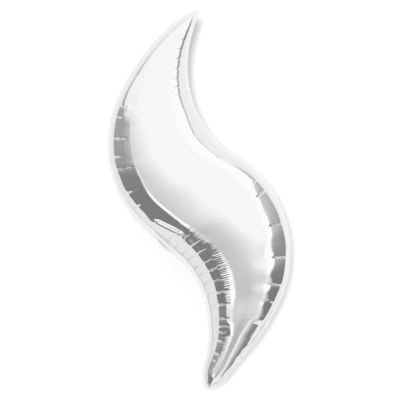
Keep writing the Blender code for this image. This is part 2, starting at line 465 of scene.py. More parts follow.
# Cross-sections of the bulge beside each weld, which stands as a wall, turns over a shoulder,
# leaves a flatter band and goes on as the roof. Each row is the height of the weld end, the
# distances in from the weld of the wall's top, the shoulder's end and the band's end in
# millimetres, and the slopes in degrees at the shoulder's start and end, the band's start and
# end, and the roof's start.
LEFT_SECTIONS = (
    (513, 3, 4, 10, 46, 40, 30, 24, 16),
    (440, 4, 5.5, 16, 46, 40, 30, 26, 18),
    (400, 4, 6, 22, 46, 40, 31, 28, 22),
    (340, 4, 6.5, 30, 46, 40, 33, 30, 25),
    (290, 4.5, 8, 36, 46, 40, 33, 30, 25),
    (262, 6, 11, 40, 46, 40, 33, 31, 26),
    (245, 4, 18, 40, 45, 40, 34, 31, 26),
    (230, 4, 21, 44, 45, 40, 35, 32, 26),
    (215, 4, 25, 48, 45, 41.5, 38, 36, 26),
    (200, 4, 28.5, 51, 46, 43, 40, 38, 27),
    (145, 4, 31.5, 57, 46, 43, 40.3, 38.5, 27),
    (100, 4.5, 32, 60, 46, 43.5, 42, 39.5, 27),
    (76, 6, 38, 61, 46, 43.5, 42, 39.5, 26),
    (50, 8, 48, 62, 47, 43, 41.5, 38.5, 26),
    (30, 8, 52, 64, 47, 42.5, 41, 38.5, 26),
    (-5, 13, 51, 63, 47, 42.5, 41.5, 38.5, 26),
    (-50, 17, 40, 62, 47, 42.5, 41.5, 38.5, 26),
    (-78, 13, 54, 65, 47, 43, 39, 36, 25),
    (-100, 23, 57, 68, 47, 43, 38, 34, 24),
    (-127, 34, 61, 76, 48, 42, 36, 33, 24),
    (-144, 35, 57, 80, 48, 42, 35, 33, 24),
    (-178, 29, 53, 84, 49, 41, 34, 33, 23),
    (-220, 26, 48, 80, 49, 40, 33, 31, 22),
    (-245, 24, 45, 72, 50, 40, 33, 31, 22),
    (-275, 21.5, 40, 64, 50, 39, 31.5, 30, 22),
    (-305, 19.5, 38, 58, 50, 39, 31.5, 30, 22),
    (-335, 16, 35, 49, 50, 39, 31.5, 30, 22),
    (-370, 13, 30, 48, 50, 39, 32.5, 30, 22),
    (-395, 11, 26, 38, 50, 39, 32, 28, 22),
    (-420, 7, 21, 32, 49, 40, 33, 28, 22),
    (-445, 4, 17, 26, 48, 41, 34, 28, 22),
    (-480, 3, 9, 14, 48, 40, 32, 28, 22),
    (-516, 2, 5, 8, 48, 39, 32, 28, 22),
)
RIGHT_SECTIONS = (
    (513, 1, 2, 6, 48, 38, 26, 20, 14),
    (474, 0.5, 3.5, 14, 48, 38, 24, 18, 12),
    (440, 2.5, 6.5, 20, 48, 38, 24, 18, 12),
    (421, 5, 9.5, 26, 48, 38, 24, 18, 12),
    (400, 7.5, 12, 32, 48, 38, 25, 19, 13),
    (370, 11, 15.5, 38, 48, 38, 26, 20, 14),
    (351, 13, 17.5, 42, 48, 38, 26, 20, 14),
    (286, 18, 22, 56, 48, 38, 26, 20, 14),
    (240, 18, 20.5, 62, 45, 36, 26, 20, 14),
    (226, 20, 22, 64, 43, 35, 26, 20, 14),
    (185, 28, 29.5, 66, 38, 32, 26, 20, 14),
    (129, 20, 22, 56, 44, 34, 28, 22, 18),
    (85, 11, 15, 48, 48, 38, 32, 26, 20),
    (60, 9, 15, 45, 47, 39, 33, 27, 20),
    (45, 9.5, 24, 48, 47, 39, 34, 27, 20),
    (10, 8.5, 32, 54, 47, 39.5, 35, 27, 20),
    (-10, 7.5, 33.5, 55, 47, 39.5, 35, 27, 20),
    (-80, 6, 33, 56, 47, 39.5, 35, 27, 20),
    (-110, 4, 36, 58, 47, 39.5, 35, 27, 20),
    (-140, 4, 33, 58, 47, 39.5, 35, 27, 20),
    (-175, 4.5, 31, 56, 47, 39.5, 34, 27, 20),
    (-200, 5, 32.5, 54, 47, 39.5, 34, 27, 20),
    (-225, 4.5, 29, 52, 47, 39.5, 34, 27, 20),
    (-255, 7, 26.5, 48, 47, 39.5, 34, 27, 20),
    (-275, 7, 24.5, 44, 47, 39.5, 34, 27, 20),
    (-300, 8, 23, 40, 47, 39.5, 34, 27, 21),
    (-325, 7.5, 20, 36, 47, 39.5, 33, 28, 22),
    (-333, 10, 19, 34, 47, 39, 33, 28, 22),
    (-345, 12.5, 29, 38, 47, 38, 33, 28, 24),
    (-380, 5.5, 24, 34, 47, 38, 33, 28, 24),
    (-410, 0.5, 15, 26, 47, 38, 33, 28, 24),
    (-440, 0.2, 10, 19, 47, 38, 33, 28, 24),
    (-480, 1, 3, 10, 48, 37, 34, 29, 24),
    (-516, 1, 2, 3, 48, 37, 32, 28, 24),
)
# Degrees that the slopes past the wall lose where the edge faces left, and on the left side also
# where it faces down. They gain as much where it faces the other way. The wall has a share of it.
LEAN_RIGHT = 2.6
LEAN_UP = 11.0
WALL_LEAN = 0.3
SIDES = (
    ("left", LEFT_CREASES, LEFT_SECTIONS, LEAN_UP),
    ("right", RIGHT_CREASES, RIGHT_SECTIONS, 0.0),
)
# The wall's least and greatest slope, and how it steepens over its foot, in degrees and metres.
WALL_SLOPES = (56.0, 87.0)
WALL_HALVINGS = 14
WALL_FOOT = 0.003
FOOT_STEEPER = 8.0
STEEPEST = 87.5
# Distance over which the film turns from the wall to the slopes past it.
CORNER = 0.003
# The band ends at no more than this share of the way to the crown.
BAND_SHARE = 0.85
# Least and greatest share of its height that the roof may have.
ROOF_SHARES = (0.35, 1.12)
SECTION_STEPS = 240
DEPTH_ROWS = 24
# Least half width and depth of a row, which keep its slopes at the tips.
NARROWEST = 1e-5
SHALLOWEST = 1e-6
# The narrow ends bulge more for their width, between these heights over and under the middle.
TOP_END = (0.33, 0.43)
BOTTOM_END = (0.27, 0.36)
END_BULGE = 0.10


class Section:
    """One side of the bulge in one row: its slopes at even steps from the weld to the crown."""

    def __init__(self, row, lean, half):
        wall, shoulder, band = (value * MILLIMETRE for value in row[:3])
        fit = min(1.0, BAND_SHARE * half / band)
        places = [
            wall,
            wall + CORNER,
            shoulder + CORNER,
            shoulder + 2 * CORNER,
            band,
            band + 2 * CORNER,
        ]
        places = np.maximum.accumulate(places) * fit
        slopes = np.array([row[3], *row[3:]])
        leaning = slopes + lean * np.array([WALL_LEAN, WALL_LEAN, 1, 1, 1, 1])
        self.step = half / SECTION_STEPS
        middles = (np.arange(SECTION_STEPS) + 0.5) * self.step
        self.angle = np.interp(middles, [*places, half], [*leaning, 0.0])
        self.corner = np.clip((middles - places[0]) / (CORNER * fit), 0, 1)
        self.foot = np.clip(1 - middles / (WALL_FOOT * fit), 0, 1)
        self.roof = middles > places[-1]

    def heights(self, wall_slope, roof_share):
        """Heights at even shares of the way in, for one wall slope and share of the roof."""
        angle = wall_slope * (1 - self.corner) + self.angle * self.corner
        angle = np.minimum(angle + FOOT_STEEPER * self.foot, STEEPEST)
        climb = np.tan(np.radians(angle)) * self.step
        climb[self.roof] *= roof_share
        return np.concatenate([[0.0], np.cumsum(climb)])

    def greatest_depth(self):
        """The greatest depth that the wall and the roof can give."""
        return self.heights(WALL_SLOPES[1], ROOF_SHARES[1])[-1]

    def fitted(self, depth):
        """Heights that end at a given depth: the wall takes up the change first, then the roof."""
        low, high = WALL_SLOPES
        for _ in range(WALL_HALVINGS):
            middle = (low + high) / 2
            if self.heights(middle, 1.0)[-1] < depth:
                low = middle
            else:
                high = middle
        heights = self.heights(high, 1.0)
        roof = heights[-1] - heights[np.argmax(self.roof)]
        roof_share = max(ROOF_SHARES[0], 1 + (depth - heights[-1]) / roof)
        heights = self.heights(high, roof_share)
        return heights * depth / heights[-1]


def side_sections(weld, inward, half, table, lean_up):
    """The section of one side in each row."""
    table = np.array(table, float)
    lean = -LEAN_RIGHT * inward[:, 0] - lean_up * inward[:, 1]
    fall = -weld[:, 1] * PER_METRE
    rows = np.stack([np.interp(fall, -table[:, 0], column) for column in table.T[1:]], axis=1)
    halves = np.maximum(half, NARROWEST)
    return [Section(*values) for values in zip(rows, lean, halves)]


def section_heights(welds, inwards, half, film):
    """Heights of the left and right sides of each row, which meet at the crown."""
    heights = (welds[0][:, 1] + welds[1][:, 1]) / 2
    ends = smooth_step(heights, *TOP_END) + smooth_step(-heights, *BOTTOM_END)
    wanted = (film.bulge + END_BULGE * ends) * np.linalg.norm(welds[1] - welds[0], axis=1) / 2
    sides = [
        side_sections(weld, inward, half, *side[2:])
        for weld, inward, side in zip(welds, inwards, SIDES)
    ]
    for sections in sides:
        wanted = np.minimum(wanted, [section.greatest_depth() for section in sections])
    weights = np.hanning(DEPTH_ROWS * 2 + 1)
    padded = np.pad(wanted, DEPTH_ROWS, mode="reflect", reflect_type="odd")
    depths = np.maximum(np.convolve(padded, weights / weights.sum(), "valid"), SHALLOWEST)
    return [
        np.array([section.fitted(depth) for section, depth in zip(sections, depths)])
        for sections in sides
    ]


def arch_shares():
    """Shares of the way across the bulge, from one weld to the other, one for each column."""
    share = np.linspace(0, 1, ARCH_STEPS + 1)
    near = np.minimum(share, 1 - share)
    crowding = BELT_CROWDING * (1 - smooth_step(near, *BELT_ENDS))
    crowding += WELD_CROWDING * (1 - smooth_step(near, 0.0, WELD_END))
    weight = run_along((share + np.cumsum(crowding) / ARCH_STEPS)[:, None])
    shares = np.interp(np.linspace(0, weight[-1], ARCH_COLUMNS), weight, share)
    shares[1], shares[-2] = FIRST_COLUMN, 1 - FIRST_COLUMN
    return shares


def plan_curves(welds, inwards):
    """Rows in the seam plane that leave both welds square, as points and distances along."""
    left, right = welds
    chord = right - left
    length = np.linalg.norm(chord, axis=1)[:, None]
    way = chord / np.maximum(length, 1e-9)
    square = smooth_step(length, *SQUARE_WIDTHS)
    slopes = []
    for inward, sense in zip(inwards, (1, -1)):
        tangent = inward * sense * square + way * (1 - square)
        slopes.append(tangent / np.linalg.norm(tangent, axis=1)[:, None] * length)
    share = np.linspace(0, 1, PLAN_STEPS + 1)[None, :, None]
    points = hermite(share, *(values[:, None] for values in (left, right, *slopes)))
    return points, runs_along(points)


def bulge_surface(welds, inwards, film, side):
    """Points of the smooth bulge, and each point's distance in plan from each weld."""
    points, reach = plan_curves(welds, inwards)
    total = reach[:, -1]
    spread = arch_shares()
    left_heights, right_heights = section_heights(welds, inwards, total / 2, film)
    shares = np.linspace(0, 1, left_heights.shape[1])
    surface = np.empty((len(points), ARCH_COLUMNS, 3))
    for i in range(len(points)):
        place = spread * total[i]
        surface[i, :, 0] = np.interp(place, reach[i], points[i, :, 0])
        surface[i, :, 2] = np.interp(place, reach[i], points[i, :, 1])
        from_left = np.interp(np.clip(2 * spread, 0, 1), shares, left_heights[i])
        from_right = np.interp(np.clip(2 - 2 * spread, 0, 1), shares, right_heights[i])
        surface[i, :, 1] = side * np.where(spread < 0.5, from_left, from_right)
    plan = spread[None, :] * total[:, None]
    return surface, plan, total[:, None] - plan


def surface_normals(points, side):
    """Unit normals of a grid of points, out of the balloon on the given side."""
    down = np.gradient(points, axis=0)
    across = np.gradient(points, axis=1)
    normals = np.cross(across, down)
    length = np.linalg.norm(normals, axis=2)
    normals /= np.maximum(length, 1e-12)[..., None]
    normals[normals[..., 1] * side < 0] *= -1
    return normals


def film_distance(points, mirrored):
    """Distance over the film from a weld, along each row."""
    return runs_along(points[:, ::-1])[:, ::-1] if mirrored else runs_along(points)


# Puckers. A crease has a share of its depth at the weld itself, which dies away over a distance.
WELD_SHARE = 0.42
WELD_OVER = 0.004
# A fold starts over a distance from the weld. It is this steep and this round at its bottom, and
# a crease this deep has the whole of it.
FOLD_OVER = 0.006
FOLD_STEEPNESS = 0.50
FOLD_ROUND = 0.0005
FOLD_POWER = 1.2
WHOLE_FOLD = 0.001
# Shares of their reach over which dips and folds fade out.
DIP_FADE = (0.4, 1.0)
FOLD_FADE = (0.8, 1.0)
# Round lobes run together without a line between them over these distances from the weld.
LOBE_EVENED = (0.030, 0.060)
ROUND_LOBE = 3
# Creases wander sideways a little, over a distance from the weld.
WANDER = 0.0008
WANDER_LENGTH = 0.037
WANDER_OVER = 0.02
# Least and greatest share of its listed size that a crease has on the back.
BACK_SIZES = (0.85, 1.15)


def pucker_height(creases, starts, foot, distance, scale, seed):
    """Height of the puckered film over the smooth bulge, which is below zero in a crease."""
    columns = np.array([row[1:] for row in creases], float).T
    flatness = columns[4]
    depth, reach, fold_reach, growth, _, flank = columns * MILLIMETRE
    depth = depth * scale
    own = np.ones((3, len(depth)))
    if seed:
        own = np.random.default_rng(seed).uniform(*BACK_SIZES, own.shape)
    own_depth, own_reach, own_fold = depth * own[0], reach * own[1], fold_reach * own[2]
    wander = WANDER * ripple(distance + foot, WANDER_LENGTH, seed + WANDER_SEED)
    place = foot + wander * np.clip(distance / WANDER_OVER, 0, 1)
    lobe = np.clip(np.searchsorted(starts, place, side="right") - 1, 0, len(starts) - 2)
    width = starts[lobe + 1] - starts[lobe]
    share = np.clip((place - starts[lobe]) / width, 0, 1)
    blend = smooth_step(share, 0.0, 1.0)

    def across_lobe(values):
        """Values of the creases at a lobe's two sides, run together across it."""
        return values[lobe] * (1 - blend) + values[lobe + 1] * blend

    broad = np.abs(2 * share - 1) ** flatness[lobe]
    evened = smooth_step(distance, *LOBE_EVENED) * (flatness[lobe] < ROUND_LOBE)
    broad = broad * (1 - evened) + (0.5 + 0.5 * np.cos(2 * math.pi * share)) * evened
    fade = 1 - smooth_step(distance / across_lobe(own_reach), *DIP_FADE)
    dip = across_lobe(own_depth) * (1 - np.exp(-distance / across_lobe(growth))) * fade
    weld_dip = WELD_SHARE * across_lobe(depth) * np.exp(-distance / WELD_OVER)

    near = np.where(share < 0.5, lobe, lobe + 1)
    off = np.minimum(share, 1 - share) * width
    rounded = np.sqrt(off**2 + FOLD_ROUND**2) - FOLD_ROUND
    fold = np.clip(1 - rounded / flank[near], 0, 1) ** FOLD_POWER
    fold_depth = FOLD_STEEPNESS * flank[near] * np.clip(own_depth[near] / WHOLE_FOLD, 0, 1)
    fold_depth = fold_depth * (1 - np.exp(-((distance / FOLD_OVER) ** 2)))
    fold_depth = fold_depth * (1 - smooth_step(distance / own_fold[near], *FOLD_FADE))
    return -(weld_dip + dip) * broad - fold_depth * fold


# Shares of a rib patch over which it fades at its top and bottom and at its near and far sides.
RIB_END_FADES = (0.12, 0.2)
RIB_SIDE_FADES = (0.25, 0.18)
# Shares of the pitch that ribs drift, with the wavelength, along the weld and across it, and the
# mean strength of the ribs, its change and its wavelength.
RIB_DRIFT_ALONG = (0.16, 0.021)
RIB_DRIFT_ACROSS = (0.1, 0.03)
RIB_STRENGTH = (0.75, 0.35, 0.034)
RIDGE_FADES = (0.3, 0.25)


def rib_height(side_name, weld, foot, distance, scale, seed):
    """Height of the fine ribs of one side."""
    height = np.zeros_like(foot)
    for i, (side, top, bottom, *sizes) in enumerate(RIB_PATCHES):
        if side != side_name:
            continue
        start, end = run_at((top, bottom), weld, run_along(weld))
        near, far, pitch, rise = (size * MILLIMETRE for size in sizes)
        shown = faded(foot, start, end, *((end - start) * fade for fade in RIB_END_FADES))
        shown *= faded(distance, near, far, *((far - near) * fade for fade in RIB_SIDE_FADES))
        drift = RIB_DRIFT_ALONG[0] * ripple(foot, RIB_DRIFT_ALONG[1], seed + i)
        across = ripple(distance, RIB_DRIFT_ACROSS[1], seed + i + RIB_DRIFT_SEED)
        drift += RIB_DRIFT_ACROSS[0] * across
        mean, change, wavelength = RIB_STRENGTH
        strength = mean + change * ripple(foot, wavelength, seed + i + RIB_STRENGTH_SEED)
        wave = np.cos(2 * math.pi * (foot / pitch + drift))
        height += rise * scale * shown * strength * wave
    return height


def ridge_height(side_name, weld, foot, distance, scale):
    """Height of the ridges that run slantwise along one side."""
    height = np.zeros_like(foot)
    for side, top, bottom, *sizes in RIDGES:
        if side != side_name:
            continue
        start, end = run_at((top, bottom), weld, run_along(weld))
        near, far, outer, crest, inner, rise = (size * MILLIMETRE for size in sizes)
        share = np.clip((foot - start) / (end - start), 0, 1)
        off = distance - (near + (far - near) * share)
        past = off - np.clip(off, 0, crest)
        flank = np.where(past < 0, outer, inner)
        shown = faded(share, 0.0, 1.0, *RIDGE_FADES)
        height += rise * scale * shown * np.clip(1 - np.abs(past) / flank, 0, 1)
    return height


# Waves of the film beside the weld, which die away over a distance from it, and the curl of the
# margin's cut edge with its own waves.
WAVE_HEIGHT = 0.0001
WAVE_LENGTH = 0.046
WAVE_OVER = 0.015
MARGIN_CURL = 0.0007
CURL_LENGTH = 0.031
# Puckers fade out where the bulge is narrower than this half width. Up to the first of these
# distances from the tail's fold there are no waves, and from the second on they are whole.
TIP_FADE = 0.035
STILL_AT_FOLD = (0.022, 0.045)
# The right weld's runs and the back's draws are kept apart from the others by these.
RIGHT_RUN = 3.0
BACK_SEED = 7
RIB_SEED = 60


def margin_grid(edge, weld, arch_edge, runs, curl, tip_fade):
    """The flat margin beside one weld, from the cut edge up to the weld and moved with it."""
    share = np.linspace(0, 1, MARGIN_COLUMNS, endpoint=False)[None, :]
    flat = edge[:, None, :] * (1 - share[..., None]) + weld[:, None, :] * share[..., None]
    flat = flat + ((arch_edge[:, ::2] - weld) * tip_fade[:, None])[:, None, :]
    flare = (curl + WAVE_HEIGHT * ripple(runs, CURL_LENGTH, CURL_SEED)) * tip_fade
    lift = arch_edge[:, 1][:, None] + flare[:, None] * (1 - share)
    return np.stack([flat[..., 0], lift, flat[..., 1]], axis=2)


def panel_sheet(film, side):
    """The panel's outer face as a grid, with each point's run along and way in from a weld."""
    edges, places = cut_edges()
    pairs = (edges, edges[::-1])
    welds = [weld_line(*pair, film) for pair in pairs]
    inwards = [inward_of(*pair) for pair in pairs]
    smooth, *plan = bulge_surface(welds, inwards, film, side)
    smooth = between_rows(smooth, places)
    edges, welds, inwards, plan = (
        [between_rows(values, places) for values in pair] for pair in (edges, welds, inwards, plan)
    )
    normals = surface_normals(smooth, side)
    half_width = np.linalg.norm(welds[1] - welds[0], axis=1) / 2
    tip_fade = smooth_step(half_width, 0.0, TIP_FADE)
    height = np.zeros(smooth.shape[:2])
    nearest = np.full(smooth.shape[:2], math.inf)
    runs = np.zeros(smooth.shape[:2])
    seed = 0 if side < 0 else BACK_SEED
    for k, (name, creases, *_) in enumerate(SIDES):
        weld, outward = welds[k], -inwards[k]
        normals[:, -k] = np.stack([outward[:, 0], 0 * outward[:, 0], outward[:, 1]], axis=1)
        run = run_along(weld)
        foot = np.repeat(run[:, None], ARCH_COLUMNS, axis=1)
        starts = run_at([row[0] for row in creases], weld, run)
        height += pucker_height(creases, starts, foot, plan[k], film.pucker, seed and seed + k)
        height += rib_height(name, weld, foot, plan[k], film.rib, RIB_SEED + seed + k)
        height += ridge_height(name, weld, foot, plan[k], film.pucker)
        over_film = film_distance(smooth, k == 1)
        closer = over_film < nearest
        nearest = np.where(closer, over_film, nearest)
        runs = np.where(closer, foot + k * RIGHT_RUN, runs)
    height *= tip_fade[:, None]
    arch = smooth + normals * height[..., None]
    fold_x, _, fold_z = TAIL_JOINT["pos_m"]
    still = smooth_step(np.hypot(smooth[..., 0] - fold_x, smooth[..., 2] - fold_z), *STILL_AT_FOLD)
    wave = WAVE_HEIGHT * ripple(runs, WAVE_LENGTH, WAVE_SEED)
    wave = wave * np.exp(-nearest / WAVE_OVER) * still
    arch[..., 1] += wave * tip_fade[:, None] + side * (film.weld_gap / 2 + film.thickness)
    left_margin, right_margin = (
        margin_grid(edges[k], welds[k], arch[:, -k], runs[:, -k], curl, fade)
        for k, curl, fade in ((0, -MARGIN_CURL, tip_fade * still[:, 0]), (1, MARGIN_CURL, tip_fade))
    )
    points = np.concatenate([left_margin, arch, right_margin[:, ::-1]], axis=1)
    out = np.linspace(-film.margin, 0, MARGIN_COLUMNS, endpoint=False)
    over = np.repeat(out[None, :], len(points), axis=0)
    distance = np.concatenate([over, nearest, over[:, ::-1]], axis=1)
    return points, np.pad(runs, ((0, 0), (MARGIN_COLUMNS, MARGIN_COLUMNS)), mode="edge"), distance


# The panel's inner face is set in by the film, and by more over a distance from the weld. It is
# set in straight across beside the weld.
INNER_WALL = 0.0016
INNER_WALL_OVER = 0.02
STRAIGHT_IN_OVER = 0.006
# Distances from the weld over which a panel and a tail ply leave the margin, distances from its
# edge over which a sleeve film does, and the distance given to a panel's inner points.
PANEL_MARGIN_END = (-0.0008, 0.0004)
PLY_MARGIN_END = (-0.0006, 0.0006)
SLEEVE_MARGIN_END = (0.0008, 0.0014)
INSIDE_DISTANCE = 0.3
FILM_SMOOTH_ANGLE = math.radians(50)
NECK_SMOOTH_ANGLE = math.radians(60)

# Steps of the tail's small films, and the sizes of their folds.
TAIL_ROWS = 121
TAIL_COLUMNS = 61
TAIL_RISE = 0.0013
TAIL_KINK = 0.0005
TAIL_LIP = 0.0004
SLEEVE_ROWS = 61
SLEEVE_COLUMNS = 17
SLEEVE_PARTING = 0.0009
NECK_RADIUS = 0.0016
NECK_TURN_STEPS = 15
NECK_ON_MARGIN = 0.0070
NECK_ON_TAIL = 0.0062
NECK_SIDES = 96
NECK_HALF_DEPTH = 0.0011
TAIL_SHOULDER = 0.002
TAIL_LIP_LENGTH = 0.007
TAIL_PUFF = (0.78, 0.22)
TAIL_KINK_LENGTH = 0.060
TAIL_KINK_OVER = (0.012, 0.03)
# Creases of a ply: their share, how far their wave runs across and along the tail, their
# wavelength and their seed.
TAIL_CREASES = ((0.6, 1.0, 0.12, 0.016, 31), (0.4, 0.5, 1.0, 0.040, 32))
MOUTH_WAVE = 0.0001
MOUTH_WAVE_LENGTH = 0.022
MOUTH_WAVE_FROM = 0.05
SLEEVE_LIFT = 0.00045
SLEEVE_RIPPLE = 0.00012
SLEEVE_RIPPLE_LENGTH = 0.013
SLEEVE_SLANT = 0.5
SLEEVE_PARTS_OVER = 0.012
# The neck's straight steps, how loose it is round the root, how far it narrows on the tail and
# from which share on, its gathers, and the powers that square its section off.
NECK_STEPS = 5
NECK_LOOSE = 0.0004
NECK_TAPER = 0.0016
NECK_TAPER_FROM = 0.6
NECK_GATHERS = 0.22
NECK_GATHER_LENGTH = 0.0060
NECK_SLANT = 0.3
NECK_CORNERS = (0.5, 0.22)


def inner_sheet(points, distance, film, side):
    """Every second point of the panel, set in by the film, which closes it inside."""
    normals = surface_normals(points, side)
    deeper = smooth_step(distance, 0.0, INNER_WALL_OVER)
    wall = film.thickness + (INNER_WALL - film.thickness) * deeper
    flat = 1 - smooth_step(distance, 0.0, STRAIGHT_IN_OVER)[..., None]
    straight = np.zeros_like(normals)
    straight[..., 1] = side
    way = normals * (1 - flat) + straight * flat
    way /= np.linalg.norm(way, axis=2)[..., None]
    return points - way * wall[..., None]


def every_second(count):
    """Every second index of a row, with the last one in."""
    picked = list(range(0, count, 2))
    return picked if picked[-1] == count - 1 else [*picked, count - 1]


def grid_index(points, start=0):
    """Indexes of a grid of points, from a first one."""
    rows, columns = points.shape[:2]
    return start + np.arange(rows * columns).reshape(rows, columns)


def closed_tips(index, margin_columns):
    """An index grid whose first and last rows fold onto one line, with the bulge at one point."""
    index = index.copy()
    columns = index.shape[1]
    for row in (0, -1):
        for column in range(margin_columns, columns):
            mirror = min(columns - 1 - column, margin_columns)
            index[row, column] = index[row, mirror]
    return index


def grid_faces(index, turned):
    """Faces of a grid of point indexes, with those that close up at a tip left out."""
    quads = np.stack([index[:-1, :-1], index[:-1, 1:], index[1:, 1:], index[1:, :-1]], axis=2)
    quads = quads.reshape(-1, 4)
    faces = [list(dict.fromkeys(quad)) for quad in (quads[:, ::-1] if turned else quads).tolist()]
    return [face for face in faces if len(face) > 2]


def edge_faces(outer, inner, picked, turned):
    """Faces of the cut edge, between each outer stretch and its inner one."""
    outer, inner = outer.tolist(), inner.tolist()
    faces = []
    for a, b, low, high in zip(picked, picked[1:], inner, inner[1:]):
        faces.extend((outer[i], outer[i + 1], low) for i in range(a, b))
        faces.append((outer[b], high, low))
    return [face[::-1] for face in faces] if turned else faces


def deselect():
    """Leave edit mode with nothing selected."""
    if bpy.context.mode != "OBJECT":
        bpy.ops.object.mode_set(mode="OBJECT")
    bpy.ops.object.select_all(action="DESELECT")


def make_active(piece):
    """Select one piece and make it the active one."""
    deselect()
    piece.select_set(True)
    bpy.context.view_layer.objects.active = piece


def edit_whole(piece, operator, **values):
    """Run one of edit mode's operators on the whole of a piece."""
    make_active(piece)
    bpy.ops.object.mode_set(mode="EDIT")
    bpy.ops.mesh.select_all(action="SELECT")
    operator(**values)
    bpy.ops.object.mode_set(mode="OBJECT")


def new_piece(name, points, faces, places, material):
    """A piece of film from its points, its faces and each point's place on the film."""
    mesh = bpy.data.meshes.new(name)
    mesh.from_pydata(points.reshape(-1, 3).tolist(), [], faces)
    mesh.materials.append(material)
    piece = bpy.data.objects.new(name, mesh)
    bpy.context.collection.objects.link(piece)
    layer = mesh.uv_layers.new(name="weld_run")
    corners = np.zeros(len(mesh.loops), np.int32)
    mesh.loops.foreach_get("vertex_index", corners)
    layer.data.foreach_set("uv", places.reshape(-1, 2).astype(np.float32)[corners].ravel())
    return piece


def set_margin(piece, share):
    """How far each point of a piece lies on the welded margin, from 0 to 1."""
    margin = piece.data.attributes.new("margin", "FLOAT", "POINT")
    margin.data.foreach_set("value", share.ravel().astype(np.float32))


def film_panel(name, film, side, material):
    """One panel of film: its outer face, its inner face and the cut edge between them."""
    points, runs, distance = panel_sheet(film, side)
    picks = [every_second(count) for count in points.shape[:2]]
    inner = inner_sheet(points, distance, film, side)[np.ix_(*picks)]
    start = runs.size
    outer_index = closed_tips(grid_index(points), MARGIN_COLUMNS)
    inner_index = closed_tips(grid_index(inner, start), (MARGIN_COLUMNS + 1) // 2)
    turned = side > 0
    faces = grid_faces(outer_index, not turned)
    faces += grid_faces(inner_index, turned)
    faces += edge_faces(outer_index[:, 0], inner_index[:, 0], picks[0], not turned)
    faces += edge_faces(outer_index[:, -1], inner_index[:, -1], picks[0], turned)
    points = np.vstack([points.reshape(-1, 3), inner.reshape(-1, 3)])
    places = np.zeros((len(points), 2))
    places[:start] = np.stack([runs.ravel(), distance.ravel()], axis=1)
    places[start:, 1] = INSIDE_DISTANCE
    piece = new_piece(name, points, faces, places, material)
    set_margin(piece, 1 - smooth_step(places[:, 1], *PANEL_MARGIN_END))
    edit_whole(piece, bpy.ops.mesh.delete_loose)
    bpy.ops.object.shade_smooth_by_angle(angle=FILM_SMOOTH_ANGLE)
    return piece


# Tail, valve and neck
def fold_ways():
    """Unit vectors along the tail's fold, and square out from it in the seam plane."""
    fold_line = Vector(TAIL_JOINT["axis"]).normalized()
    return fold_line, Vector((-fold_line.z, 0, fold_line.x))


def at_fold(*axes):
    """Matrix that puts a piece at the tail's fold, turned to the given axes."""
    turn = Matrix(axes).transposed().to_4x4()
    return Matrix.Translation(Vector(TAIL_JOINT["pos_m"])) @ turn


def tail_frame(tail):
    """Matrix of the tail at rest: X along its fold, Y along the tail and Z out of its front."""
    fold_line, outward = fold_ways()
    along = outward * math.cos(tail.fold) + Vector((0, 1, 0)) * math.sin(tail.fold)
    return at_fold(fold_line, along, fold_line.cross(along))


def thick_sheet(name, sheet, on_margin, thickness, place, material):
    """A small film from the points and places of its outer face, given thickness behind it."""
    points, places = sheet
    piece = new_piece(name, points, grid_faces(grid_index(points), False), places, material)
    set_margin(piece, on_margin)
    make_active(piece)
    solid = piece.modifiers.new("film", "SOLIDIFY")
    solid.thickness = thickness
    solid.offset = -1.0
    bpy.ops.object.modifier_apply(modifier=solid.name)
    bpy.ops.object.shade_smooth_by_angle(angle=FILM_SMOOTH_ANGLE)
    piece.data.transform(place)
    return piece


def tail_half_width(tail, along):
    """Half width of the tail at distances along it: flared at its root, and straight beyond."""
    flare = 1 - smooth_step(along, tail.start, tail.flare)
    return tail.half_width + (tail.root_half_width - tail.half_width) * flare


def tail_kink(rows, x):
    """How the whole tail bends a little out of its plane along it."""
    kink = TAIL_KINK * ripple(rows + 0 * x, TAIL_KINK_LENGTH, KINK_SEED)
    return kink * smooth_step(rows, *TAIL_KINK_OVER)


def tail_ply(name, tail, side, place, material):
    """One ply of the tail: welded flat down both sides, and creased over the valve between."""
    rows = np.linspace(tail.start, tail.length, TAIL_ROWS)[:, None]
    across = np.sin(np.linspace(-1, 1, TAIL_COLUMNS) * math.pi / 2)[None, :]
    half = tail_half_width(tail, rows)
    x = across * half
    inset = half - np.abs(x)
    raised = smooth_step(inset, tail.weld, tail.weld + TAIL_SHOULDER)
    folds = sum(
        share * ripple(slant * x + run * rows, wavelength, seed)
        for share, slant, run, wavelength, seed in TAIL_CREASES
    )
    puff = TAIL_RISE * (TAIL_PUFF[0] + TAIL_PUFF[1] * folds)
    lip = TAIL_LIP * smooth_step(rows, tail.length - TAIL_LIP_LENGTH, tail.length) * raised
    z = side * (tail.weld_height + raised * puff + lip) + tail_kink(rows, x)
    waved = smooth_step(rows, MOUTH_WAVE_FROM, tail.length)
    y = rows + MOUTH_WAVE * ripple(x, MOUTH_WAVE_LENGTH, MOUTH_SEED) * waved
    points = np.stack([x * -side, y + 0 * x, z], axis=2)
    places = np.stack([rows + 0 * x, inset], axis=2)
    on_margin = 1 - smooth_step(inset - tail.weld, *PLY_MARGIN_END)
    return thick_sheet(name, (points, places), on_margin, tail.film, place, material)


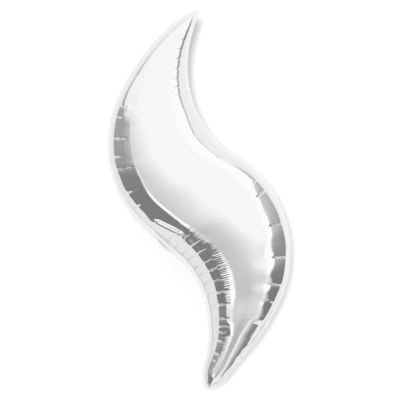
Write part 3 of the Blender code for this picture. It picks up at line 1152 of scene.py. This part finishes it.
def sleeve_film(name, tail, side, place, material):
    """One film of the flat valve sleeve, which parts a little from the other at the mouth."""
    end = tail.length + tail.sleeve_proud
    rows = np.linspace(tail.sleeve_start, end, SLEEVE_ROWS)[:, None]
    x = np.linspace(-1, 1, SLEEVE_COLUMNS)[None, :] * tail.sleeve_half_width + 0 * rows
    crown = 1 - (x / tail.sleeve_half_width) ** 2
    parted = SLEEVE_PARTING * smooth_step(rows, tail.length - SLEEVE_PARTS_OVER, end)
    slanted = rows + SLEEVE_SLANT * x
    rippled = SLEEVE_RIPPLE * ripple(slanted, SLEEVE_RIPPLE_LENGTH, SLEEVE_SEED)
    z = side * (SLEEVE_LIFT + crown * parted) + rippled
    points = np.stack([x * -side, rows + 0 * x, z + tail_kink(rows, x)], axis=2)
    edge = tail.sleeve_half_width - np.abs(x) + 0 * rows
    places = np.stack([rows + 0 * x, edge], axis=2)
    on_margin = 1 - smooth_step(edge, *SLEEVE_MARGIN_END)
    return thick_sheet(name, (points, places), on_margin, tail.sleeve_film, place, material)


def neck_path(tail):
    """The neck's path from the panel's margin round the fold to the tail, as outward and back."""
    radius = NECK_RADIUS
    lead = radius * math.tan(tail.fold / 2)
    turns = np.linspace(0, tail.fold, NECK_TURN_STEPS)
    bend = np.stack([-lead + radius * np.sin(turns), radius * (1 - np.cos(turns))], axis=1)
    way = np.array([math.cos(tail.fold), math.sin(tail.fold)])
    before = np.linspace(-NECK_ON_MARGIN, -lead, NECK_STEPS, endpoint=False)
    after = np.linspace(lead, NECK_ON_TAIL, NECK_STEPS)[1:, None] * way
    return np.vstack([np.stack([before, 0 * before], axis=1), bend, after])


def neck_film(name, tail, place, material):
    """The film of the neck: a flat tube that grips the margin and the tail's root, and folds."""
    path = neck_path(tail)
    run = run_along(path)
    share = run / run[-1]
    way = np.gradient(path, axis=0)
    way /= np.linalg.norm(way, axis=1)[:, None]
    out = np.stack([way[:, 1], -way[:, 0]], axis=1)
    round_it = np.linspace(0, 2 * math.pi, NECK_SIDES, endpoint=False)
    x, face = (
        np.sign(wave) * np.abs(wave) ** power
        for wave, power in zip((np.cos(round_it), np.sin(round_it)), NECK_CORNERS)
    )
    taper = NECK_TAPER * smooth_step(share, NECK_TAPER_FROM, 1.0)
    half_width = tail.root_half_width + NECK_LOOSE - taper
    middle = np.sin(math.pi * share)
    half_depth = NECK_HALF_DEPTH * (1 - NECK_GATHERS + NECK_GATHERS * middle)
    across = x[None, :] * half_width[:, None]
    slanted = across + NECK_SLANT * run[:, None]
    gathered = ripple(slanted, NECK_GATHER_LENGTH, GATHER_SEED)
    gathers = 1 + NECK_GATHERS * middle[:, None] * gathered
    depth = face[None, :] * half_depth[:, None] * gathers
    flat = path[:, None, :] + out[:, None, :] * depth[..., None]
    points = np.concatenate([across[..., None], flat], axis=2)
    index = grid_index(points)
    ahead = np.roll(index, -1, axis=1)
    faces = np.stack([index[:-1], ahead[:-1], ahead[1:], index[1:]], axis=2).reshape(-1, 4).tolist()
    faces += [index[0, ::-1].tolist(), index[-1].tolist()]
    places = np.stack([across, run[:, None] + 0 * across], axis=2)
    piece = new_piece(name, points, faces, places, material)
    seam_place = at_fold(*fold_ways(), Vector((0, 1, 0)))
    piece.data.transform(seam_place)
    edit_whole(piece, bpy.ops.mesh.normals_make_consistent, inside=False)
    bpy.ops.object.shade_smooth_by_angle(angle=NECK_SMOOTH_ANGLE)
    lead = NECK_RADIUS * math.tan(tail.fold / 2)
    start = seam_place @ Vector((0, -lead, 0))
    end = place @ Vector((0, lead, 0))
    return piece, start, end


# Materials
DEGREES = 180 / math.pi


class Signal:
    """An output in a node tree, with arithmetic that adds the nodes it takes."""

    def __init__(self, tree, socket):
        self.tree = tree
        self.socket = socket

    def math(self, operation, other=None):
        """The output of a math node on this value and, where it takes one, another."""
        inputs = {0: self} if other is None else {0: self, 1: other}
        return signal(self.tree, "ShaderNodeMath", inputs, operation=operation)

    def __add__(self, other):
        return self.math("ADD", other)

    def __sub__(self, other):
        return self.math("SUBTRACT", other)

    def __mul__(self, other):
        return self.math("MULTIPLY", other)

    def eased(self, low, high, start=0.0, end=1.0):
        """An even change from start to end as the value goes from low to high."""
        inputs = {"Value": self, "From Min": low, "From Max": high, "To Min": start, "To Max": end}
        return signal(self.tree, "ShaderNodeMapRange", inputs, interpolation_type="SMOOTHSTEP")

    def between(self, first, second):
        """The first value where this one is 0, the second where it is 1."""
        return signal(self.tree, "ShaderNodeMix", {0: self, 2: first, 3: second}, data_type="FLOAT")

    def toward(self, direction):
        """Cosine of the angle between this direction and a fixed one."""
        inputs = {0: self, 1: Vector(direction).normalized()}
        kind = "ShaderNodeVectorMath"
        return signal(self.tree, kind, inputs, "Value", operation="DOT_PRODUCT")

    def degrees_off(self, axis):
        """Degrees between this direction and an axis."""
        return self.toward(axis).math("ARCCOSINE") * DEGREES


def add_node(tree, kind, inputs, **settings):
    """A node with its settings, and its inputs as plain values or signals."""
    node = tree.nodes.new(kind)
    for name, value in settings.items():
        setattr(node, name, value)
    for name, value in inputs.items():
        if isinstance(value, Signal):
            tree.links.new(value.socket, node.inputs[name])
        else:
            node.inputs[name].default_value = value
    return node


def signal(tree, kind, inputs, output=0, **settings):
    """One output of a new node."""
    return Signal(tree, add_node(tree, kind, inputs, **settings).outputs[output])


def new_material(name, colour, roughness, metallic):
    """A material with its shader, and the tree to add nodes to."""
    material = bpy.data.materials.new(name)
    material.use_nodes = True
    tree = material.node_tree
    shader = tree.nodes["Principled BSDF"]
    shader.inputs["Base Color"].default_value = (*colour, 1.0)
    shader.inputs["Roughness"].default_value = roughness
    shader.inputs["Metallic"].default_value = metallic
    return material, tree, shader


# The crinkles' detail, and the broad ones' share of the fineness and their height over the fine.
FINE_DETAIL = 3.0
BROAD_DETAIL = 1.0
BROAD_FINENESS = 0.12
BROAD_HEIGHT = 3.0
FOIL_FINENESS = 420.0
FOIL_BUMP = 0.00004
EMBOSS_PITCH = 0.0018
EMBOSS_HEIGHT = 0.8
CLEAR_FINENESS = 260.0
CLEAR_BUMP = 0.00008
CLEAR_ROUGHNESS = 0.12
CLEAR_IOR = 1.5
BUMP_STRENGTH = 0.5


def crinkle_group():
    """Heights of the fine crinkles of a film from places on it, for both materials."""
    group = bpy.data.node_groups.new("film_crinkle", "ShaderNodeTree")
    for name, way, kind in (
        ("Place", "INPUT", "NodeSocketVector"),
        ("Fineness", "INPUT", "NodeSocketFloat"),
        ("Height", "OUTPUT", "NodeSocketFloat"),
    ):
        group.interface.new_socket(name=name, in_out=way, socket_type=kind)
    given = group.nodes.new("NodeGroupInput")
    place = Signal(group, given.outputs["Place"])
    fineness = Signal(group, given.outputs["Fineness"])
    heights = []
    for scale, detail in ((fineness, FINE_DETAIL), (fineness * BROAD_FINENESS, BROAD_DETAIL)):
        inputs = {"Vector": place, "Scale": scale, "Detail": detail}
        heights.append(signal(group, "ShaderNodeTexNoise", inputs, "Fac", noise_dimensions="2D"))
    add_node(group, "NodeGroupOutput", {"Height": heights[0] + heights[1] * BROAD_HEIGHT})
    return group


def film_places(tree):
    """Each point's place on the film, as its run along the weld and its distance from it."""
    return signal(tree, "ShaderNodeUVMap", {}, uv_map="weld_run")


def crinkles(tree, places, fineness):
    """The height of a film's crinkles in a material's tree."""
    group = bpy.data.node_groups.get("film_crinkle") or crinkle_group()
    inputs = {"Place": places, "Fineness": fineness}
    return signal(tree, "ShaderNodeGroup", inputs, "Height", node_tree=group)


def bump_shader(tree, shader, height, distance):
    """Lead a height into the shader's normal."""
    inputs = {"Strength": BUMP_STRENGTH, "Distance": distance, "Height": height}
    bump = add_node(tree, "ShaderNodeBump", inputs)
    tree.links.new(bump.outputs["Normal"], shader.inputs["Normal"])


def foil_material(finish):
    """Metallised film: a mirror, faintly crinkled, with an embossed weld on its margin."""
    material, tree, shader = new_material(
        "silver_foil", finish.foil_colour, finish.foil_roughness, 1.0
    )
    margin = signal(tree, "ShaderNodeAttribute", {}, "Fac", attribute_name="margin")
    inputs = {"Value": margin, "To Min": finish.foil_roughness, "To Max": finish.weld_roughness}
    rough = add_node(tree, "ShaderNodeMapRange", inputs)
    tree.links.new(rough.outputs["Result"], shader.inputs["Roughness"])
    places = film_places(tree)
    run = signal(tree, "ShaderNodeSeparateXYZ", {"Vector": places}, "X")
    emboss = (run * (2 * math.pi / EMBOSS_PITCH)).math("SINE") * margin * EMBOSS_HEIGHT
    bump_shader(tree, shader, crinkles(tree, places, FOIL_FINENESS) + emboss, FOIL_BUMP)
    return material


def clear_material(finish):
    """Clear valve film: faintly tinted, glossy and seen through."""
    material, tree, shader = new_material(
        "clear_film", finish.sleeve_colour, CLEAR_ROUGHNESS, 0.0
    )
    shader.inputs["Alpha"].default_value = finish.sleeve_alpha
    shader.inputs["IOR"].default_value = CLEAR_IOR
    height = crinkles(tree, film_places(tree), CLEAR_FINENESS)
    bump_shader(tree, shader, height, CLEAR_BUMP)
    return material


# Studio. The bright front's axis leans up and to the right. The others are level, and the front
# greys towards the last way, down and to the left.
FRONT_AXIS = (0.09, -1.0, 0.40)
LEVEL_AXIS = (0.09, -1.0, 0.0)
REAR_AXIS = (0.16, -1.0, 0.0)
GREY_WAY = (-0.62, 0.0, -0.78)
# Brightness of the studio's parts. Where there are two, it changes from the first to the second.
FRONT_LEVELS = (0.98, 0.66)
BELOW_DIMMED = 0.09
LOW_RIGHT_DIMMED = 0.15
RIM_LEVEL = 1.03
REAR_LEVELS = (0.82, 0.89)
LEFT_GAP_LEVELS = (0.215, 0.38)
RIGHT_GAP_LEVELS = (0.20, 0.55)
RIGHT_GAP_LIFTS = (0.02, 0.26)
RIGHT_GAP_LIFT_HIGH = 0.25
LOW_GAP_LIFT = 0.42
BEHIND_LEVEL = 0.93
# Shares of the rims that are thin or faint, and where the rear starts, in degrees off its axis.
FAINT_RIM = 0.3
THIN_RIM = 0.25
LEFT_REAR_START = 104.0
RIGHT_REAR_STARTS = (95.0, 90.0)
# Where each change in the studio starts and ends: over X or Z of the direction, in degrees
# out from the front, or in degrees round the view.
RIGHT_HALF_X = (-0.1, 0.1)
GREYING = (-0.15, 0.55)
BELOW_Z = (-0.3, -0.65)
LOW_RIGHT_Z = (-0.1, -0.45)
LOW_RIGHT_X = (-0.2, 0.35)
RIGHT_RIM_OUT = (49, 56)
RIGHT_RIM_AROUND = (-38, -26)
LEFT_RIM_OUT = (56, 60)
LEFT_RIM_AROUND = (-115, -130)
FAINT_RIM_AROUND = (-150, -165)
THIN_RIM_OUT = (62, 65)
THIN_RIM_AROUND = (140, 160)
REAR_OUT = (76, 80)
REAR_X = (-0.6, 0.4)
SOFT_GAP_OUT = (68, 84)
SOFT_GAP_AROUND = (122, 150)
LEFT_GAP_OUT = (71, 76)
LEFT_GAP_AROUND = (-104, -116)
RIGHT_GAP_OUT = (66, 71)
RIGHT_GAP_TOP = (66, 50)
RIGHT_GAP_FOOT = (-60, -48)
REAR_START_AROUND = (-28, -36)
REAR_START_OVER = (0, 3)
GAP_LIFT_OUT = (96, 70)
GAP_LIFT_AROUND = (-30, 5)
GAP_LIFT_TOP = (40, 12)
LOW_GAP_LIFT_AROUND = (-30, -33)
RIGHT_GAP_AROUND = (-26, 48)
LEFT_GAP_Z = (-0.45, 0.25)


def studio_level(seen, x, z):
    """Brightness of a white tent: a front, thin bright rims, a dark gap and a pale rear.

    Places round the view are in degrees, 0 at the right and 90 at the top. Places out from the
    front are in degrees off its axis.
    """
    out = seen.degrees_off(FRONT_AXIS)
    level_out = seen.degrees_off(LEVEL_AXIS)
    around = z.math("ARCTAN2", x) * DEGREES
    on_right = x.eased(*RIGHT_HALF_X)

    front = seen.toward(GREY_WAY).eased(*GREYING, *FRONT_LEVELS)
    front = front - z.eased(*BELOW_Z, 0.0, BELOW_DIMMED)
    low_right = z.eased(*LOW_RIGHT_Z) * x.eased(*LOW_RIGHT_X, 0.0, LOW_RIGHT_DIMMED)
    front = front - low_right
    right_rim = level_out.eased(*RIGHT_RIM_OUT) * on_right * around.eased(*RIGHT_RIM_AROUND)
    faint = around.eased(*FAINT_RIM_AROUND)
    rim_share = faint.between(around.eased(*LEFT_RIM_AROUND), FAINT_RIM)
    left_rim = rim_share * out.eased(*LEFT_RIM_OUT)
    thin_rim = around.eased(*THIN_RIM_AROUND, 0.0, THIN_RIM) * out.eased(*THIN_RIM_OUT)
    rims = right_rim.math("MAXIMUM", left_rim.math("MAXIMUM", thin_rim))
    level = rims.between(front, RIM_LEVEL)
    level = out.eased(*REAR_OUT).between(level, x.eased(*REAR_X, *REAR_LEVELS))

    soft_left = around.eased(*SOFT_GAP_AROUND) * out.eased(*SOFT_GAP_OUT)
    sharp_left = around.eased(*LEFT_GAP_AROUND) * out.eased(*LEFT_GAP_OUT)
    sharp_right = around.eased(*RIGHT_GAP_TOP) * around.eased(*RIGHT_GAP_FOOT)
    sharp_right = sharp_right * level_out.eased(*RIGHT_GAP_OUT)
    gap = on_right.between(soft_left.math("MAXIMUM", sharp_left), sharp_right)
    right_rear = around.eased(*REAR_START_AROUND, *RIGHT_REAR_STARTS)
    past_start = seen.degrees_off(REAR_AXIS) - on_right.between(LEFT_REAR_START, right_rear)
    gap = gap * past_start.eased(*REAR_START_OVER, 1.0, 0.0)

    lifted = around.eased(*GAP_LIFT_AROUND, *RIGHT_GAP_LIFTS)
    lifted = lifted * around.eased(*GAP_LIFT_TOP, RIGHT_GAP_LIFT_HIGH, 1.0)
    low_lifted = around.eased(*LOW_GAP_LIFT_AROUND) * on_right * LOW_GAP_LIFT
    lifted = lifted.math("MAXIMUM", low_lifted) * level_out.eased(*GAP_LIFT_OUT)
    right_level = around.eased(*RIGHT_GAP_AROUND, *RIGHT_GAP_LEVELS) + lifted
    left_level = z.eased(*LEFT_GAP_Z, *LEFT_GAP_LEVELS)
    gap_level = on_right.between(left_level, right_level)
    return gap.between(level, gap_level)


def studio_world():
    """The white tent as the world's light, with plain pale grey where the camera looks past."""
    world = bpy.data.worlds.new("studio")
    bpy.context.scene.world = world
    world.use_nodes = True
    tree = world.node_tree
    tree.nodes.clear()
    seen = signal(tree, "ShaderNodeTexCoord", {}, "Generated")
    split = add_node(tree, "ShaderNodeSeparateXYZ", {"Vector": seen})
    x, z = (Signal(tree, split.outputs[name]) for name in "XZ")
    lit = signal(tree, "ShaderNodeBackground", {"Color": studio_level(seen, x, z)})
    behind = (BEHIND_LEVEL, BEHIND_LEVEL, BEHIND_LEVEL, 1)
    plain = signal(tree, "ShaderNodeBackground", {"Color": behind})
    to_camera = signal(tree, "ShaderNodeLightPath", {}, "Is Camera Ray")
    shown = signal(tree, "ShaderNodeMixShader", {"Fac": to_camera, 1: lit, 2: plain})
    add_node(tree, "ShaderNodeOutputWorld", {"Surface": shown})


def stage_material(glow, albedo):
    """A pale surface that glows a little, seen from its front only."""
    material = bpy.data.materials.new("pale_stage")
    material.use_nodes = True
    tree = material.node_tree
    tree.nodes.clear()
    diffuse = signal(tree, "ShaderNodeBsdfDiffuse", {"Color": (albedo, albedo, albedo, 1)})
    emission = signal(tree, "ShaderNodeEmission", {"Strength": glow})
    front = signal(tree, "ShaderNodeAddShader", {0: diffuse, 1: emission})
    clear = signal(tree, "ShaderNodeBsdfTransparent", {})
    behind = signal(tree, "ShaderNodeNewGeometry", {}, "Backfacing")
    shown = signal(tree, "ShaderNodeMixShader", {"Fac": behind, 1: front, 2: clear})
    add_node(tree, "ShaderNodeOutputMaterial", {"Surface": shown})
    return material


PLANE_SIZE = 6.0
WALL_MIDDLE = 2.2
STAGE_GLOW = 0.32
STAGE_ALBEDO = 0.35
KEY_STRENGTH = 4.1
LENS = 200.0
SENSOR_WIDTH = 36.0
CAMERA_HEIGHT = -0.0027
# Pieces of film, each with the node that it replaces and the side that it lies on.
PANELS = (("front_film", "front_panel", -1), ("back_film", "back_panel", 1))
PLIES = (("tail_front_film", "tail_front", 1), ("tail_back_film", "tail_back", -1))
SLEEVES = (("valve_front_film", "valve_front", 1), ("valve_back_film", "valve_back", -1))


def add_plane(name, place, rotation, material):
    """One plane of the stage."""
    bpy.ops.mesh.primitive_plane_add(size=PLANE_SIZE, location=place, rotation=rotation)
    plane = bpy.context.object
    plane.name = name
    plane.data.materials.append(material)
    plane.visible_glossy = False
    return plane


def add_key_light(tilt, size):
    """The light that casts the soft shadow, tilted off the camera's line."""
    bpy.ops.object.light_add(type="SUN")
    key = bpy.context.object
    key.name = "key_light"
    key.data.energy = KEY_STRENGTH
    key.data.angle = size
    side = math.sin(tilt) * math.sqrt(0.5)
    key.rotation_euler = Vector((side, 1.0, -side)).to_track_quat("-Z", "Y").to_euler()
    key.visible_glossy = False


def add_camera(distance):
    """The camera, square on to the seam plane and far off."""
    data = bpy.data.cameras.new("camera")
    data.lens = LENS
    data.sensor_width = SENSOR_WIDTH
    camera = bpy.data.objects.new("camera", data)
    bpy.context.collection.objects.link(camera)
    camera.location = (0, -distance, CAMERA_HEIGHT)
    camera.rotation_euler = (math.pi / 2, 0, 0)
    bpy.context.scene.camera = camera


class FOIL_OT_panels(bpy.types.Operator):
    """Make the two film panels with their puckers and welded margin"""

    bl_idname = "foil.panels"
    bl_label = "Film Panels"

    def execute(self, context):
        foil = foil_material(context.scene.foil_finish)
        for name, node, side in PANELS:
            piece = film_panel(name, context.scene.foil_film, side, foil)
            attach(piece, "envelope")
            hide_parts(node)
        return {"FINISHED"}


class FOIL_OT_tail(bpy.types.Operator):
    """Make the inflation tail's two plies"""

    bl_idname = "foil.tail"
    bl_label = "Inflation Tail"

    def execute(self, context):
        tail = context.scene.foil_tail
        foil = bpy.data.materials["silver_foil"]
        for name, node, side in PLIES:
            piece = tail_ply(name, tail, side, tail_frame(tail), foil)
            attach(piece, "tail")
            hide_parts(node)
        return {"FINISHED"}


class FOIL_OT_valve(bpy.types.Operator):
    """Make the two clear films of the valve sleeve"""

    bl_idname = "foil.valve"
    bl_label = "Valve Sleeve"

    def execute(self, context):
        tail = context.scene.foil_tail
        clear = clear_material(context.scene.foil_finish)
        for name, node, side in SLEEVES:
            piece = sleeve_film(name, tail, side, tail_frame(tail), clear)
            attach(piece, "tail")
            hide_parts(node)
        return {"FINISHED"}


class FOIL_OT_neck(bpy.types.Operator):
    """Make the film that folds between the panels' margin and the tail"""

    bl_idname = "foil.neck"
    bl_label = "Neck"

    def execute(self, context):
        tail = context.scene.foil_tail
        foil = bpy.data.materials["silver_foil"]
        piece, start, end = neck_film("neck_film", tail, tail_frame(tail), foil)
        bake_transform(piece)
        return {"FINISHED"}


class FOIL_OT_studio(bpy.types.Operator):
    """Make the wall, the floor, the light and the camera"""

    bl_idname = "foil.studio"
    bl_label = "Studio"

    def execute(self, context):
        studio = context.scene.foil_studio
        studio_world()
        deselect()
        pale = stage_material(STAGE_GLOW, STAGE_ALBEDO)
        upright = (math.pi / 2, 0, 0)
        wall = add_plane("wall", (0, studio.wall, WALL_MIDDLE), upright, pale)
        floor_place = (0, studio.wall - PLANE_SIZE / 2, studio.floor)
        floor = add_plane("floor", floor_place, (0, 0, 0), pale)
        add_key_light(studio.key_tilt, studio.key_size)
        add_camera(studio.camera_distance)
        context.scene.view_settings.view_transform = "Standard"
        return {"FINISHED"}


class FOIL_PT_panel(bpy.types.Panel):
    """The balloon's settings and steps in the sidebar"""

    bl_idname = "FOIL_PT_panel"
    bl_label = "Foil Balloon"
    bl_space_type = "VIEW_3D"
    bl_region_type = "UI"
    bl_category = "Foil Balloon"

    def draw(self, context):
        for setting, _ in GROUPS:
            group = getattr(context.scene, setting)
            box = self.layout.box()
            for name in group.__annotations__:
                box.prop(group, name)
        for operator in OPERATORS:
            self.layout.operator(operator.bl_idname)


OPERATORS = (FOIL_OT_panels, FOIL_OT_tail, FOIL_OT_valve, FOIL_OT_neck, FOIL_OT_studio)
GROUPS = (
    ("foil_film", FilmSettings),
    ("foil_tail", TailSettings),
    ("foil_finish", FinishSettings),
    ("foil_studio", StudioSettings),
)


def register():
    """Register the classes and put each settings group on the scene."""
    for name, group in GROUPS:
        bpy.utils.register_class(group)
        setattr(bpy.types.Scene, name, bpy.props.PointerProperty(type=group))
    for operator in OPERATORS:
        bpy.utils.register_class(operator)
    bpy.utils.register_class(FOIL_PT_panel)


def unregister():
    """Take the classes and the settings groups away."""
    bpy.utils.unregister_class(FOIL_PT_panel)
    for operator in reversed(OPERATORS):
        bpy.utils.unregister_class(operator)
    for name, group in reversed(GROUPS):
        delattr(bpy.types.Scene, name)
        bpy.utils.unregister_class(group)


def main():
    """Make every piece."""
    register()
    bpy.ops.foil.panels()
    bpy.ops.foil.tail()
    bpy.ops.foil.valve()
    bpy.ops.foil.neck()
    bpy.ops.foil.studio()


if __name__ == "__main__":
    main()
